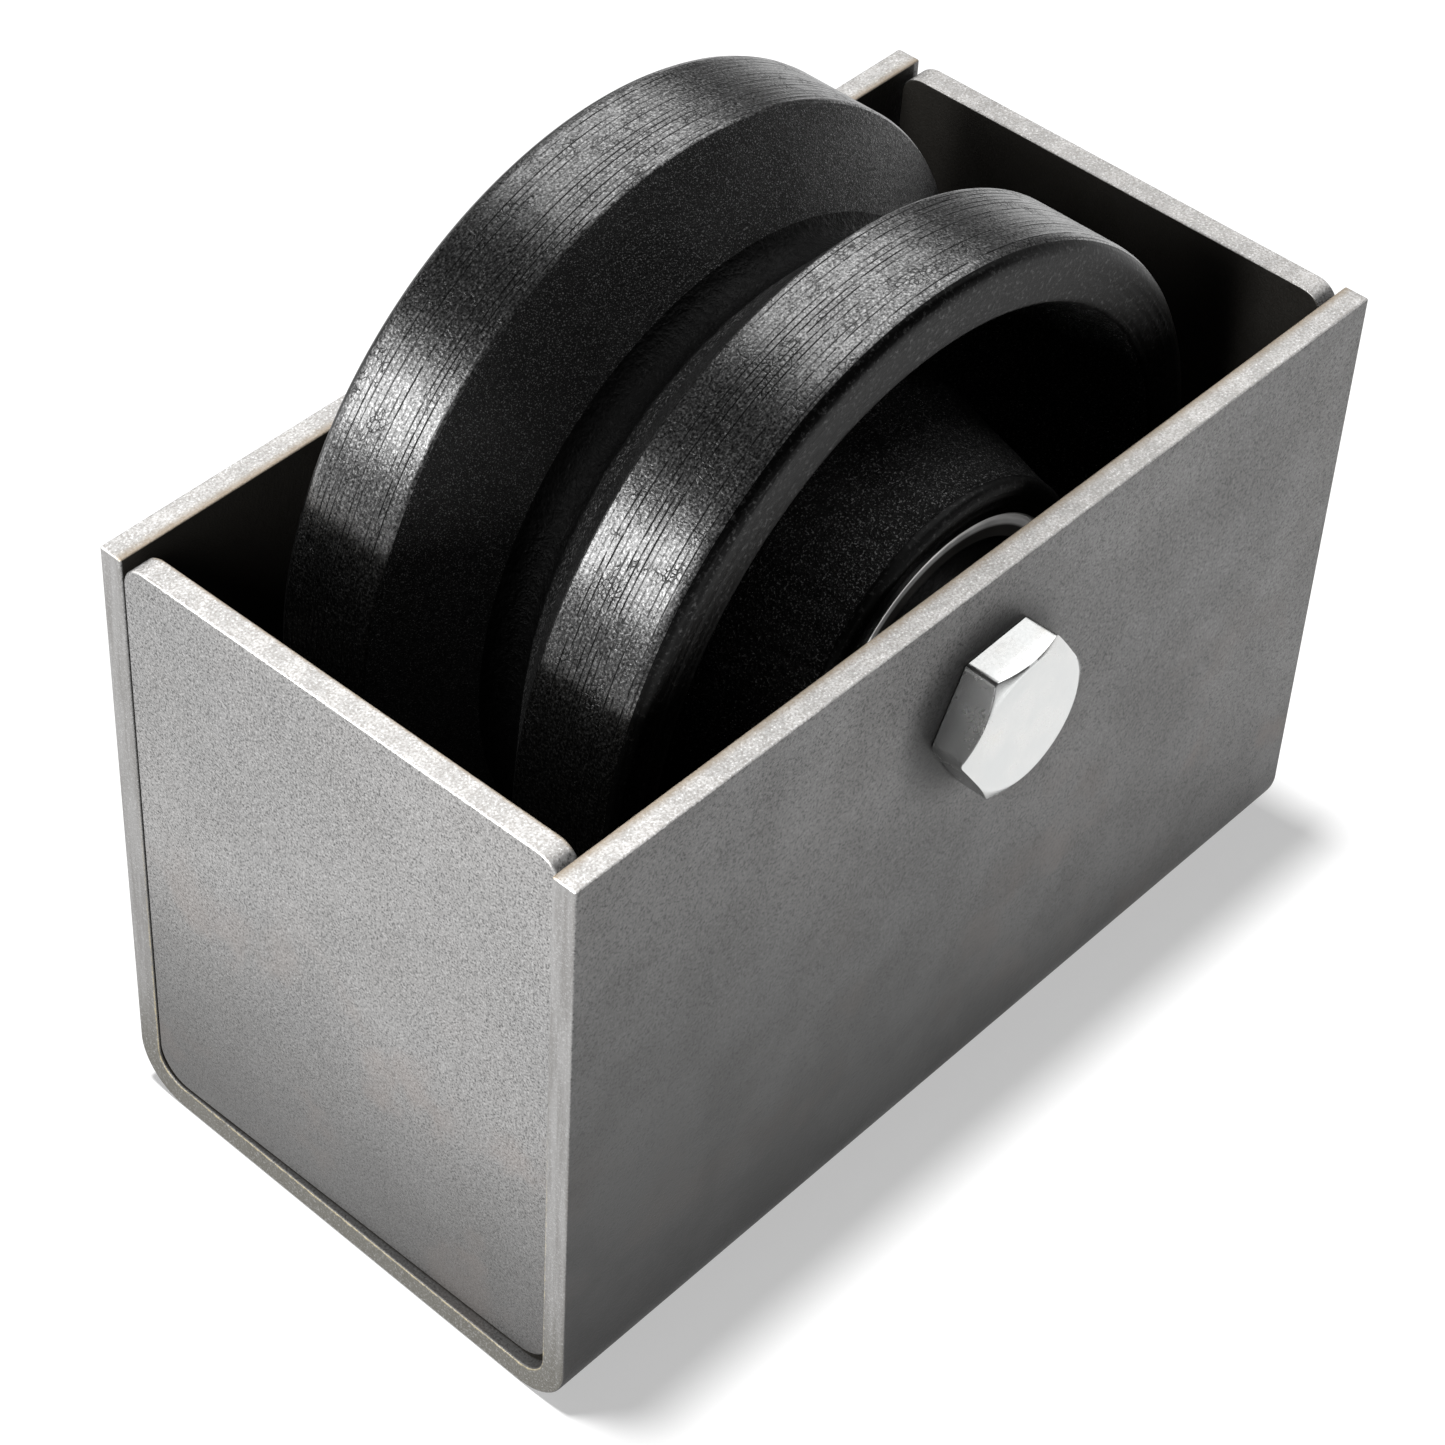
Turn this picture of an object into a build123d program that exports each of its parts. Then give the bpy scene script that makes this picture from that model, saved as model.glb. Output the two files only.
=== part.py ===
"""Box-mounted V-groove gate wheel: a cast wheel on two ball bearings, bolted through a welded steel box.

Frame: X runs along the box, Y along the axle, Z up. The origin is the centre of the underside of
the box's closed web, the face that is welded to a gate. The near side is -Y, where the bolt head is.
"""
from build123d import *
import os
from math import cos, radians, sin, tan

# --- Box: a channel bent from plate, closed by two welded end plates ---
box_length = 139.7            # near flange, end to end
box_width = 74.4              # over both flanges
box_height = 88.9
plate = 3.5                   # thickness of every plate
bend_radius = 7.5             # outside of the two bends
skew_left = 1.55              # how much shorter the far flange is at the -X end
skew_right = 0.65             # the same at the +X end
edge_break = 0.3              # rounding of the sheared edges
plate_side_gap = 0.2          # between an end plate and each flange
plate_foot_gap = 0.4          # between an end plate and the web
plate_top_corner = 3.3
plate_foot_corner = 5.0

# --- Fillet welds inside the box ---
weld_leg = 3.5
weld_bulge = 0.5              # how far the bead's face stands out from a flat one
weld_low = 14.0               # ends of the upright beads
weld_high = 66.0
weld_floor_length = 46.0

# --- Axle ---
axle_height = 69.2            # axle centre above the web's underside
bolt_radius = 6.35            # half-inch bolt
thread_radius = 6.1
thread_length = 22.0
bolt_hole_radius = 6.6
hex_flats = 19.05             # across flats, head and nut
hex_turn = 2.6                # degrees that the head's upper flat is turned from level
head_height = 5.8
head_face_radius = 9.0        # flat face inside the head's chamfer
chamfer_angle = 30.0
washer_radius = 13.5
washer_thickness = 2.4
nut_hex_height = 9.6
nut_collar_height = 4.2
nut_collar_radius = 8.7
nut_lip = 0.9                 # thickness of the collar's rolled-in lip
nut_lip_radius = 7.3
insert_radius = 8.0
insert_height = 2.6
nut_collar_overlap = 1.0      # how far the collar's root runs into the hexagon
bolt_end = 3.0                # bolt standing out of the nut
bolt_end_chamfer = 1.0

# --- Bearings, 17 x 40 x 12 ---
bearing_bore_radius = 8.5
bearing_radius = 20.0
bearing_width = 12.0
ring_corner = 0.7
inner_land_radius = 12.25
outer_land_radius = 16.3
pitch_radius = 14.3
ball_radius = 3.36
race_radius = 3.44
ball_count = 8
pocket_radius = 3.44
cage_inner_radius = 13.2
cage_outer_radius = 15.4
cage_width = 8.4
seal_radius = 17.2            # seal and the step that it sits in
seal_bore_radius = 12.45
seal_thickness = 0.8
seal_recess = 0.4             # seal face behind the ring's face

# --- Wheel: one casting, kept as a hub and two rims that meet without a gap ---
wheel_offset = 0.8            # wheel's centre plane from the box's
wheel_radius = 52.2
wheel_half_width = 26.2
shoulder_radius = 2.4         # rounding of each rim's outer edge
groove_half_mouth = 11.9
groove_half_floor = 3.3
groove_floor_radius = 42.0
groove_relief = 1.8           # depth of the hollow along the groove's floor
recess_mouth_radius = 44.6
recess_inner_radius = 41.4
recess_inner_plane = 13.0
web_radius = 34.0
web_half = 5.5
hub_root_radius = 28.4
hub_root_plane = 12.5
hub_half_length = 30.8
hub_lip_radius = 24.4
hub_lip_chamfer = 0.9
hub_lip_width = 1.4
bearing_set_back = 0.3        # bearing behind the hub's end face
shoulder_bore_radius = 17.0   # bore between the two bearing seats

# --- Spacers on the axle sleeve ---
sleeve_bore_radius = 6.5
sleeve_end_gap = 0.1
spacer_radius = 11.6
centre_spacer_radius = 11.0

flange_inner_y = box_width / 2 - plate
bearing_plane = hub_half_length - bearing_set_back - bearing_width / 2
left_end = -box_length / 2 + skew_left
right_end = box_length / 2 - skew_right
nut_seat = box_width / 2 + washer_thickness
nut_height = nut_hex_height + nut_collar_height


def turned(profile, centre_y=0.0):
    """Revolve a profile drawn as (radius, y) about the axle, at a place along it."""
    return Pos(0, centre_y, axle_height) * revolve(profile, Axis.Y)


def ring(inner, outer, low, high, centre_y=0.0):
    """A plain tube on the axle between two planes."""
    section = Pos((inner + outer) / 2, (low + high) / 2) * Rectangle(outer - inner, high - low)
    return turned(section, centre_y)


def outline(*edges):
    """Close a chain of lines and arcs into a face."""
    return make_face(Curve() + list(edges))


def channel_section():
    """The U-shaped cross-section, drawn in the YZ plane."""
    height = box_height + bend_radius
    outer = Pos(0, height / 2) * RectangleRounded(box_width, height, bend_radius)
    inner_radius = bend_radius - plate
    inner = Pos(0, plate + height / 2) * RectangleRounded(2 * flange_inner_y, height, inner_radius)
    top = Pos(0, box_height + height / 2) * Rectangle(2 * box_width, height)
    return outer - inner - top


def channel_body():
    """Web and two flanges, with its ends cut slightly out of square and two bolt holes."""
    body = extrude(Plane.YZ * channel_section(), amount=box_length / 2, both=True)
    half = box_width / 2
    near_end = box_length / 2
    plan = Polygon((-near_end, -half), (near_end, -half), (right_end, half), (left_end, half), align=None)
    body &= extrude(plan, amount=box_height)
    body = fillet(body.edges().filter_by(lambda edge: edge.length > plate / 2), edge_break)
    hole = Rot(90, 0, 0) * Cylinder(bolt_hole_radius, 2 * box_width)
    return body - Pos(0, 0, axle_height) * hole


def end_plate(outer_face_x, inward):
    """One end plate between the flanges, its outer face at a given x."""
    width = 2 * (flange_inner_y - plate_side_gap)
    foot = plate + plate_foot_gap
    height = box_height - foot
    middle = (outer_face_x + inward * plate / 2, 0, foot + height / 2)
    body = Pos(*middle) * Box(plate, width, height)
    corners = body.edges().filter_by(Axis.X).sort_by(Axis.Z)
    body = fillet(corners[:2], plate_foot_corner)
    corners = body.edges().filter_by(Axis.X).sort_by(Axis.Z)
    body = fillet(corners[-2:], plate_top_corner)
    return fillet(body.edges().filter_by(lambda edge: edge.length > plate + edge_break), edge_break)


def bead_section():
    """A convex fillet weld, its corner at the origin and its legs along +X and +Y."""
    middle = weld_leg / 2 + weld_bulge / 2 ** 0.5
    face = ThreePointArc((weld_leg, 0), (middle, middle), (0, weld_leg))
    return outline(Line((0, 0), (weld_leg, 0)), face, Line((0, weld_leg), (0, 0)))


def corner_welds(outer_face_x, inward):
    """Two upright beads and one along the floor, behind one end plate."""
    inner_face_x = outer_face_x + inward * plate
    beads = []
    for side in (-1, 1):
        upright = extrude(bead_section(), amount=weld_high - weld_low)
        if inward < 0:
            upright = mirror(upright, Plane.YZ)
        if side > 0:
            upright = mirror(upright, Plane.XZ)
        beads.append(Pos(inner_face_x, side * flange_inner_y, weld_low) * upright)
    floor = extrude(Plane.XZ * bead_section(), amount=weld_floor_length / 2, both=True)
    if inward < 0:
        floor = mirror(floor, Plane.YZ)
    beads.append(Pos(inner_face_x, 0, plate) * floor)
    return Compound(beads)


def hexagon_prism(height):
    """A hexagon on the axle's direction, from y=0 to y=height, with one flat facing up."""
    corner_radius = hex_flats / 2 / cos(radians(30))
    face = Plane.XZ.offset(-height) * RegularPolygon(corner_radius, 6)
    return extrude(face, amount=height)


def chamfer_cone(height, face_radius):
    """A body of revolution that bevels the hexagon's corners at y=height."""
    reach = hex_flats
    drop = (reach - face_radius) * tan(radians(chamfer_angle))
    section = Polygon((0, -1), (reach, -1), (reach, height - drop), (face_radius, height), (0, height),
                      align=None)
    return revolve(section, Axis.Y)


def axle_bolt():
    """Hex bolt: head outside the near flange, thread end past the nut."""
    blank = hexagon_prism(head_height) & chamfer_cone(head_height, head_face_radius)
    head = Rot(0, -hex_turn, 0) * mirror(blank, Plane.XZ)
    end = nut_seat + nut_height + bolt_end
    start = -box_width / 2
    thread_start = end - thread_length
    shank = ring(0, bolt_radius, start, thread_start)
    thread = ring(0, thread_radius, thread_start, end)
    tip = thread.edges().filter_by(GeomType.CIRCLE).sort_by(Axis.Y)[-1:]
    thread = chamfer(tip, bolt_end_chamfer)
    return Pos(0, start, axle_height) * head + shank + thread


def flat_washer():
    return ring(bolt_hole_radius, washer_radius, box_width / 2, nut_seat)


def lock_nut():
    """Hex nut with a round collar that holds the locking insert."""
    hexagon = hexagon_prism(nut_hex_height) & chamfer_cone(nut_hex_height, head_face_radius)
    hexagon = Pos(0, nut_seat, axle_height) * hexagon
    collar_low = nut_seat + nut_hex_height - nut_collar_overlap
    collar_high = nut_seat + nut_height
    collar = ring(0, nut_collar_radius, collar_low, collar_high)
    bore = ring(0, thread_radius, nut_seat - 1, collar_high + 1)
    mouth = ring(0, nut_lip_radius, collar_high - nut_lip, collar_high + 1)
    pocket_high = collar_high - nut_lip
    pocket = ring(0, insert_radius, pocket_high - insert_height, pocket_high)
    return hexagon + collar - bore - mouth - pocket


def nut_insert():
    """Locking ring gripped in the nut's collar."""
    high = nut_seat + nut_height - nut_lip
    return ring(thread_radius, insert_radius, high - insert_height, high)


def axle_sleeve():
    """Tube on the bolt that carries both inner rings, clamped between the flanges."""
    end = flange_inner_y - sleeve_end_gap
    return ring(sleeve_bore_radius, bearing_bore_radius, -end, end)


def centre_spacer():
    """Tube on the sleeve that keeps the two inner rings apart."""
    end = bearing_plane - bearing_width / 2
    return ring(bearing_bore_radius, centre_spacer_radius, -end, end, wheel_offset)


def side_spacer(side):
    """Collar between one inner ring and its flange; the two differ by the wheel's offset."""
    inner_ring_face = wheel_offset + side * (bearing_plane + bearing_width / 2)
    low, high = sorted((inner_ring_face, side * flange_inner_y))
    return ring(bearing_bore_radius, spacer_radius, low, high)


def bearing_centre(side):
    return wheel_offset + side * bearing_plane


def race_section(inner, outer, rounded_radius):
    """A ring's section with its raceway cut in and its two exposed corners rounded."""
    blank = Pos((inner + outer) / 2, 0) * Rectangle(outer - inner, bearing_width)
    corners = [v for v in blank.vertices() if abs(v.X - rounded_radius) < 0.01]
    blank = fillet(corners, ring_corner)
    return blank - Pos(pitch_radius, 0) * Circle(race_radius)


def bearing_outer_ring(side):
    body = turned(race_section(outer_land_radius, bearing_radius, bearing_radius), bearing_centre(side))
    depth = seal_thickness + seal_recess
    for face in (-1, 1):
        low, high = sorted((face * bearing_width / 2, face * (bearing_width / 2 - depth)))
        body -= ring(0, seal_radius, low, high, bearing_centre(side))
    return body


def bearing_inner_ring(side):
    section = race_section(bearing_bore_radius, inner_land_radius, bearing_bore_radius)
    return turned(section, bearing_centre(side))


def ball_places(side):
    """Ball centres, evenly spaced on the pitch circle."""
    for index in range(ball_count):
        angle = radians(360 * (index + 0.5) / ball_count)
        yield Pos(pitch_radius * sin(angle), bearing_centre(side), axle_height + pitch_radius * cos(angle))


def bearing_balls(side):
    return Compound([place * Sphere(ball_radius) for place in ball_places(side)])


def bearing_cage(side):
    """Ring with one pocket for each ball."""
    half = cage_width / 2
    body = ring(cage_inner_radius, cage_outer_radius, -half, half, bearing_centre(side))
    for place in ball_places(side):
        body -= place * Sphere(pocket_radius)
    return body


def bearing_seal(side, face):
    """Annular seal in one face of one bearing; face is +1 for outboard and -1 for inboard."""
    outward = side * face
    front = outward * (bearing_width / 2 - seal_recess)
    low, high = sorted((front, front - outward * seal_thickness))
    return ring(seal_bore_radius, seal_radius, low, high, bearing_centre(side))


def rim_and_hub_sections():
    """The wheel's section on the +Y side as (radius, y), in two faces: its rim, and its hub with the web."""
    mouth = (wheel_radius, groove_half_mouth)
    floor = (groove_floor_radius, groove_half_floor)
    crown_end = (wheel_radius, wheel_half_width - shoulder_radius)
    face_start = (wheel_radius - shoulder_radius, wheel_half_width)
    recess_mouth = (recess_mouth_radius, wheel_half_width)
    recess_inner = (recess_inner_radius, recess_inner_plane)
    web = (web_radius, web_half)
    hub_root = (hub_root_radius, hub_root_plane)
    lip_root = (hub_lip_radius, hub_half_length - hub_lip_width)
    lip_edge = (hub_lip_radius, hub_half_length - hub_lip_chamfer)
    lip_face = (hub_lip_radius - hub_lip_chamfer, hub_half_length)
    seat_mouth = (bearing_radius, hub_half_length)
    seat_end = (bearing_radius, bearing_plane - bearing_width / 2)
    shoulder = (shoulder_bore_radius, seat_end[1])
    bore_middle = (shoulder_bore_radius, 0)
    relief = (groove_floor_radius - groove_relief, 0)
    wall = Line(recess_mouth, recess_inner)
    into_web = TangentArc(recess_inner, web, tangent=wall % 1)
    out_of_web = TangentArc(web, hub_root, tangent=into_web % 1)
    rim = outline(
        Line(floor, mouth),
        Line(mouth, crown_end),
        TangentArc(crown_end, face_start, tangent=(0, 1)),
        Line(face_start, recess_mouth),
        wall,
        into_web,
        Line(web, floor),
    )
    hub = outline(
        TangentArc(relief, floor, tangent=(0, 1)),
        Line(floor, web),
        out_of_web,
        Line(hub_root, lip_root),
        Line(lip_root, lip_edge),
        Line(lip_edge, lip_face),
        Line(lip_face, seat_mouth),
        Line(seat_mouth, seat_end),
        Line(seat_end, shoulder),
        Line(shoulder, bore_middle),
        Line(bore_middle, relief),
    )
    return rim, hub


def wheel_rim(side):
    """One of the casting's two rims, from the web outwards."""
    section = rim_and_hub_sections()[0]
    if side < 0:
        section = mirror(section, Plane.XZ)
    return turned(section, wheel_offset)


def wheel_hub():
    """The middle of the casting: hub, web and the floor of the groove."""
    section = rim_and_hub_sections()[1]
    return turned(section + mirror(section, Plane.XZ), wheel_offset)


def parts():
    """Every node's name and solid."""
    made = {
        "channel_body": channel_body(),
        "end_plate_left": end_plate(left_end, 1),
        "end_plate_right": end_plate(right_end, -1),
        "corner_welds_left": corner_welds(left_end, 1),
        "corner_welds_right": corner_welds(right_end, -1),
        "axle_bolt": axle_bolt(),
        "flat_washer": flat_washer(),
        "lock_nut": lock_nut(),
        "nut_insert": nut_insert(),
        "axle_sleeve": axle_sleeve(),
        "centre_spacer": centre_spacer(),
        "wheel_hub": wheel_hub(),
    }
    for name, side in (("near", -1), ("far", 1)):
        made[f"wheel_rim_{name}"] = wheel_rim(side)
        made[f"side_spacer_{name}"] = side_spacer(side)
        made[f"bearing_outer_ring_{name}"] = bearing_outer_ring(side)
        made[f"bearing_inner_ring_{name}"] = bearing_inner_ring(side)
        made[f"bearing_cage_{name}"] = bearing_cage(side)
        made[f"bearing_balls_{name}"] = bearing_balls(side)
        made[f"bearing_seal_outboard_{name}"] = bearing_seal(side, 1)
        made[f"bearing_seal_inboard_{name}"] = bearing_seal(side, -1)
    return made


os.makedirs("parts", exist_ok=True)
for node, shape in parts().items():
    export_step(shape, f"parts/{node}.step")
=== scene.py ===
import math

import bmesh
import bpy
import numpy as np
from mathutils import Matrix, Vector


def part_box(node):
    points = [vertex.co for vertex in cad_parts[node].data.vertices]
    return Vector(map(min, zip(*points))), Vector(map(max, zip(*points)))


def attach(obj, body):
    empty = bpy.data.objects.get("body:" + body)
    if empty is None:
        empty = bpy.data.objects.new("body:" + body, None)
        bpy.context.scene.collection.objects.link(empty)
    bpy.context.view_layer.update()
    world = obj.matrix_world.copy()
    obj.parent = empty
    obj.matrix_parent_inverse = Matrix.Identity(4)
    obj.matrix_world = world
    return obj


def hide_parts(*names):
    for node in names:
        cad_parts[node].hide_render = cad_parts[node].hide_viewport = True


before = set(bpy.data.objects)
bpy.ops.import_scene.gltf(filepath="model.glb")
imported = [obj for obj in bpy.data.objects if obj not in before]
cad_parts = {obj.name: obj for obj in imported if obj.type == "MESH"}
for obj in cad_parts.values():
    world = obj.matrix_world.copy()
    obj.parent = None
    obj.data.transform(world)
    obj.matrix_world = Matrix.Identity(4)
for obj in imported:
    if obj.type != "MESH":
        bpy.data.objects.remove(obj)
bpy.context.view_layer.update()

MM = 0.001
rng = np.random.default_rng(20261116)

# ------------------------------------------------------------------ places read from the frame
rim_low, rim_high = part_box("wheel_rim_near")
far_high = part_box("wheel_rim_far")[1]
AXLE_Z = (rim_low.z + rim_high.z) / 2
WHEEL_Y = (rim_low.y + far_high.y) / 2
WHEEL_R = (rim_high.z - rim_low.z) / 2
HALF_WIDTH = (far_high.y - rim_low.y) / 2
hub_low, hub_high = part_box("wheel_hub")
HUB_HALF = (hub_high.y - hub_low.y) / 2
FLOOR_R = (hub_high.z - hub_low.z) / 2
channel_low, channel_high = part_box("channel_body")
plate_low, plate_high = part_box("end_plate_left")
PLATE = plate_high.x - plate_low.x
INNER_BEND = 4.0 * MM   # inside radius of the channel's bends
LINE_PITCH = 0.8 * MM   # between the tool lines on the crowns


# ------------------------------------------------------------------ node helpers
class Shader:
    """A material under construction: one Principled shader and the nodes that feed it."""

    def __init__(self, name, **values):
        self.mat = bpy.data.materials.new(name)
        self.mat.use_nodes = True
        self.tree = self.mat.node_tree
        self.bsdf = self.tree.nodes["Principled BSDF"]
        for key, value in values.items():
            self.bsdf.inputs[key.replace("_", " ")].default_value = value
        self.coords = self.tree.nodes.new("ShaderNodeTexCoord").outputs["Object"]

    def node(self, kind, **props):
        made = self.tree.nodes.new(kind)
        for key, value in props.items():
            setattr(made, key, value)
        return made

    def link(self, a, b):
        self.tree.links.new(a, b)

    def stretched(self, scale, offset=(0, 0, 0)):
        """Object coordinates times a scale for each axis."""
        mapping = self.node("ShaderNodeMapping")
        mapping.inputs["Scale"].default_value = scale
        mapping.inputs["Location"].default_value = offset
        self.link(self.coords, mapping.inputs["Vector"])
        return mapping.outputs["Vector"]

    def noise(self, scale, detail=2.0, rough=0.5, vector=None):
        made = self.node("ShaderNodeTexNoise")
        made.inputs["Scale"].default_value = scale
        made.inputs["Detail"].default_value = detail
        made.inputs["Roughness"].default_value = rough
        self.link(vector or self.coords, made.inputs["Vector"])
        return made.outputs["Fac"]

    def cells(self, scale, vector=None, feature="F1"):
        made = self.node("ShaderNodeTexVoronoi", feature=feature)
        made.inputs["Scale"].default_value = scale
        self.link(vector or self.coords, made.inputs["Vector"])
        return made.outputs["Distance"]

    def remap(self, value, low, high, to_low=0.0, to_high=1.0, smooth=True):
        """value from low..high to to_low..to_high, held between them."""
        made = self.node("ShaderNodeMapRange")
        made.interpolation_type = "SMOOTHSTEP" if smooth else "LINEAR"
        made.inputs["From Min"].default_value = low
        made.inputs["From Max"].default_value = high
        made.inputs["To Min"].default_value = to_low
        made.inputs["To Max"].default_value = to_high
        self.link(value, made.inputs["Value"])
        return made.outputs["Result"]

    def math(self, operation, a, b=None):
        made = self.node("ShaderNodeMath", operation=operation)
        for socket, value in zip(made.inputs, (a, b)):
            if value is None:
                continue
            if isinstance(value, (int, float)):
                socket.default_value = value
            else:
                self.link(value, socket)
        return made.outputs[0]

    def mix(self, factor, a, b):
        """Colour a where factor is 0 and colour b where it is 1."""
        made = self.node("ShaderNodeMix", data_type="RGBA")
        self.link(factor, made.inputs["Factor"])
        for socket, value in ((made.inputs[6], a), (made.inputs[7], b)):
            if isinstance(value, tuple):
                socket.default_value = (*value, 1.0)
            else:
                self.link(value, socket)
        return made.outputs[2]

    def axis(self, vector, index):
        made = self.node("ShaderNodeSeparateXYZ")
        self.link(vector, made.inputs[0])
        return made.outputs[index]

    def normal(self):
        return self.node("ShaderNodeTexCoord").outputs["Normal"]

    def normal_axis(self, index):
        """One component of the surface's own normal, as a size without sign."""
        return self.math("ABSOLUTE", self.axis(self.normal(), index))

    def facing_away(self, centre):
        """1 where the surface looks away from centre, as outer faces do, and 0 on inner faces."""
        offset = self.node("ShaderNodeVectorMath", operation="SUBTRACT")
        self.link(self.coords, offset.inputs[0])
        offset.inputs[1].default_value = centre
        dot = self.node("ShaderNodeVectorMath", operation="DOT_PRODUCT")
        self.link(offset.outputs["Vector"], dot.inputs[0])
        self.link(self.normal(), dot.inputs[1])
        return self.remap(dot.outputs["Value"], -2 * MM, 2 * MM)

    def axle_distance(self, shift=(0, 0)):
        """Distance from the axle's line, or from a line shifted along X and Z."""
        x = self.math("SUBTRACT", self.axis(self.coords, 0), shift[0])
        z = self.math("SUBTRACT", self.axis(self.coords, 2), AXLE_Z + shift[1])
        squares = self.math("ADD", self.math("MULTIPLY", x, x), self.math("MULTIPLY", z, z))
        return self.math("SQRT", squares)

    def bump(self, height, depth, before=None):
        """Adds relief of about depth metres and returns the new normal."""
        made = self.node("ShaderNodeBump")
        made.inputs["Strength"].default_value = 1.0
        made.inputs["Distance"].default_value = depth
        self.link(height, made.inputs["Height"])
        if before is not None:
            self.link(before, made.inputs["Normal"])
        return made.outputs["Normal"]

    def finish(self, color=None, roughness=None, normal=None, metallic=None):
        for socket, value in (("Base Color", color), ("Roughness", roughness), ("Normal", normal),
                              ("Metallic", metallic)):
            if value is not None:
                self.link(value, self.bsdf.inputs[socket])
        return self.mat


def grey(value, warm=0.0):
    """A neutral colour, or a slightly warm one."""
    return (value * (1 + warm), value, value * (1 - warm))


# ------------------------------------------------------------------ materials
NEAR_BLACK = (0.022, 0.020, 0.017)
STAIN = (0.24, 0.20, 0.18)
CUT_TAN = (0.30, 0.235, 0.16)
OLIVE = (0.062, 0.058, 0.046)
# colour of the painted highlight along the sheared ends' inner arris
GOLDEN_HIGHLIGHT = (0.34, 0.29, 0.18)
CUT_DEPTH = (0.25 * MM, 0.9 * MM)    # how far below the top the freshly cut edge fades out
# the painted shadow round the bolt head: its centre from the bolt's axis, and the radii over which it fades
# out
BOLT_SHADOW_PLACE = (-2.5 * MM, 2 * MM)    # from the bolt's axis, along X and Z
BOLT_SHADOW_REACH = (9 * MM, 16 * MM)
EDGE_WANDER = 0.7 * MM


def mill_skin(s, cloud, grain, coarse):
    """The plate's outer skin: mottled grey, dark grain, warm stains low down, painted shade that darkens it
    towards the floor and the -X end, and a painted shadow round the bolt on the flanges.
    """
    x, z = s.axis(s.coords, 0), s.axis(s.coords, 2)
    blotch = s.remap(s.noise(26, 3, 0.55), 0.36, 0.66)
    skin = s.mix(blotch, grey(0.168, 0.006), grey(0.20, 0.012))
    skin = s.mix(s.math("MULTIPLY", cloud, 0.4), skin, grey(0.14, 0.03))
    skin = s.mix(s.math("MULTIPLY", s.remap(grain, 0.52, 0.72), 0.5), skin, grey(0.36, 0.01))
    skin = s.mix(s.math("MULTIPLY", s.remap(grain, 0.5, 0.32), 0.9), skin, grey(0.04))
    skin = s.mix(s.math("MULTIPLY", s.remap(coarse, 0.6, 0.75), 0.25), skin, grey(0.07, 0.05))
    stain = s.math("MULTIPLY", s.remap(s.noise(60, 3, 0.6), 0.52, 0.66, 0.0, 0.4),
                   s.remap(z, 60 * MM, 20 * MM))
    skin = s.mix(stain, skin, STAIN)
    # painted shade: every face darker towards the floor and towards -X
    height = s.math("ADD", z, s.math("MULTIPLY", x, 0.22))
    skin = s.mix(s.remap(height, -12 * MM, 38 * MM, 0.75, 0.0), skin, grey(0.035, 0.02))
    # more painted shade on the flanges' faces: darker low down and towards -X
    on_flange = s.remap(s.normal_axis(1), 0.6, 0.9)
    slant = s.math("ADD", z, s.math("MULTIPLY", x, 0.45))
    scale = s.math("MULTIPLY", s.remap(slant, 0, 80 * MM, 0.72, 0.0), on_flange)
    skin = s.mix(scale, skin, grey(0.04))
    # painted shadow of the bolt head on both flanges, centred a little towards -X and above the bolt's axis
    bolt_shadow = s.remap(s.axle_distance(BOLT_SHADOW_PLACE), *BOLT_SHADOW_REACH, 0.7, 0.0)
    return s.mix(s.math("MULTIPLY", bolt_shadow, on_flange), skin, grey(0.03))


def cut_edge(s, grain, reach, inner, margin):
    """A freshly cut top edge, brown and ragged for the width of margin beside its inner arris."""
    fresh = s.mix(s.remap(s.noise(300, 3, 0.6), 0.35, 0.65), grey(0.47, 0.02), grey(0.59, 0.02))
    fresh = s.mix(s.math("MULTIPLY", s.remap(grain, 0.52, 0.38), 0.6), fresh, grey(0.26, 0.08))
    fresh = s.mix(s.math("MULTIPLY", s.remap(grain, 0.56, 0.70), 0.8), fresh, grey(0.92, 0.01))
    return s.mix(s.remap(reach, inner + 0.1 * MM, inner + margin, 0.8, 0.0), fresh, CUT_TAN)


def sheared_end(s, grain, wander, y_size, inner_y):
    """The channel's sheared ends: streaked down the plate, olive at the web, with a painted golden highlight
    along the inner arris.
    """
    z = s.axis(s.coords, 2)
    streaks = s.remap(s.noise(1, 3, 0.6, s.stretched((900, 900, 60))), 0.35, 0.65)
    sheared = s.mix(streaks, grey(0.135, 0.03), grey(0.185, 0.015))
    sheared = s.mix(s.remap(z, 3 * MM, 24 * MM, 0.85, 0.0), sheared, OLIVE)
    # depth into the section from the channel's inner surface, round its bends too
    out_y = s.math("MAXIMUM", s.math("SUBTRACT", y_size, inner_y - INNER_BEND), 0.0)
    out_z = s.math("MAXIMUM", s.math("SUBTRACT", PLATE + INNER_BEND, z), 0.0)
    squares = s.math("ADD", s.math("MULTIPLY", out_y, out_y), s.math("MULTIPLY", out_z, out_z))
    depth = s.math("ADD", s.math("SUBTRACT", s.math("SQRT", squares), INNER_BEND), wander)
    # painted highlight: a golden line along the inner arris of the ends, strongest low down
    arris = s.math("MULTIPLY", s.remap(depth, 0.35 * MM, 0.05 * MM, 0.0, 0.75),
                   s.remap(z, 60 * MM, 10 * MM))
    sheared = s.mix(arris, sheared, GOLDEN_HIGHLIGHT)
    return s.mix(s.math("MULTIPLY", s.remap(grain, 0.5, 0.72), 0.5), sheared, grey(0.3))


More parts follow.
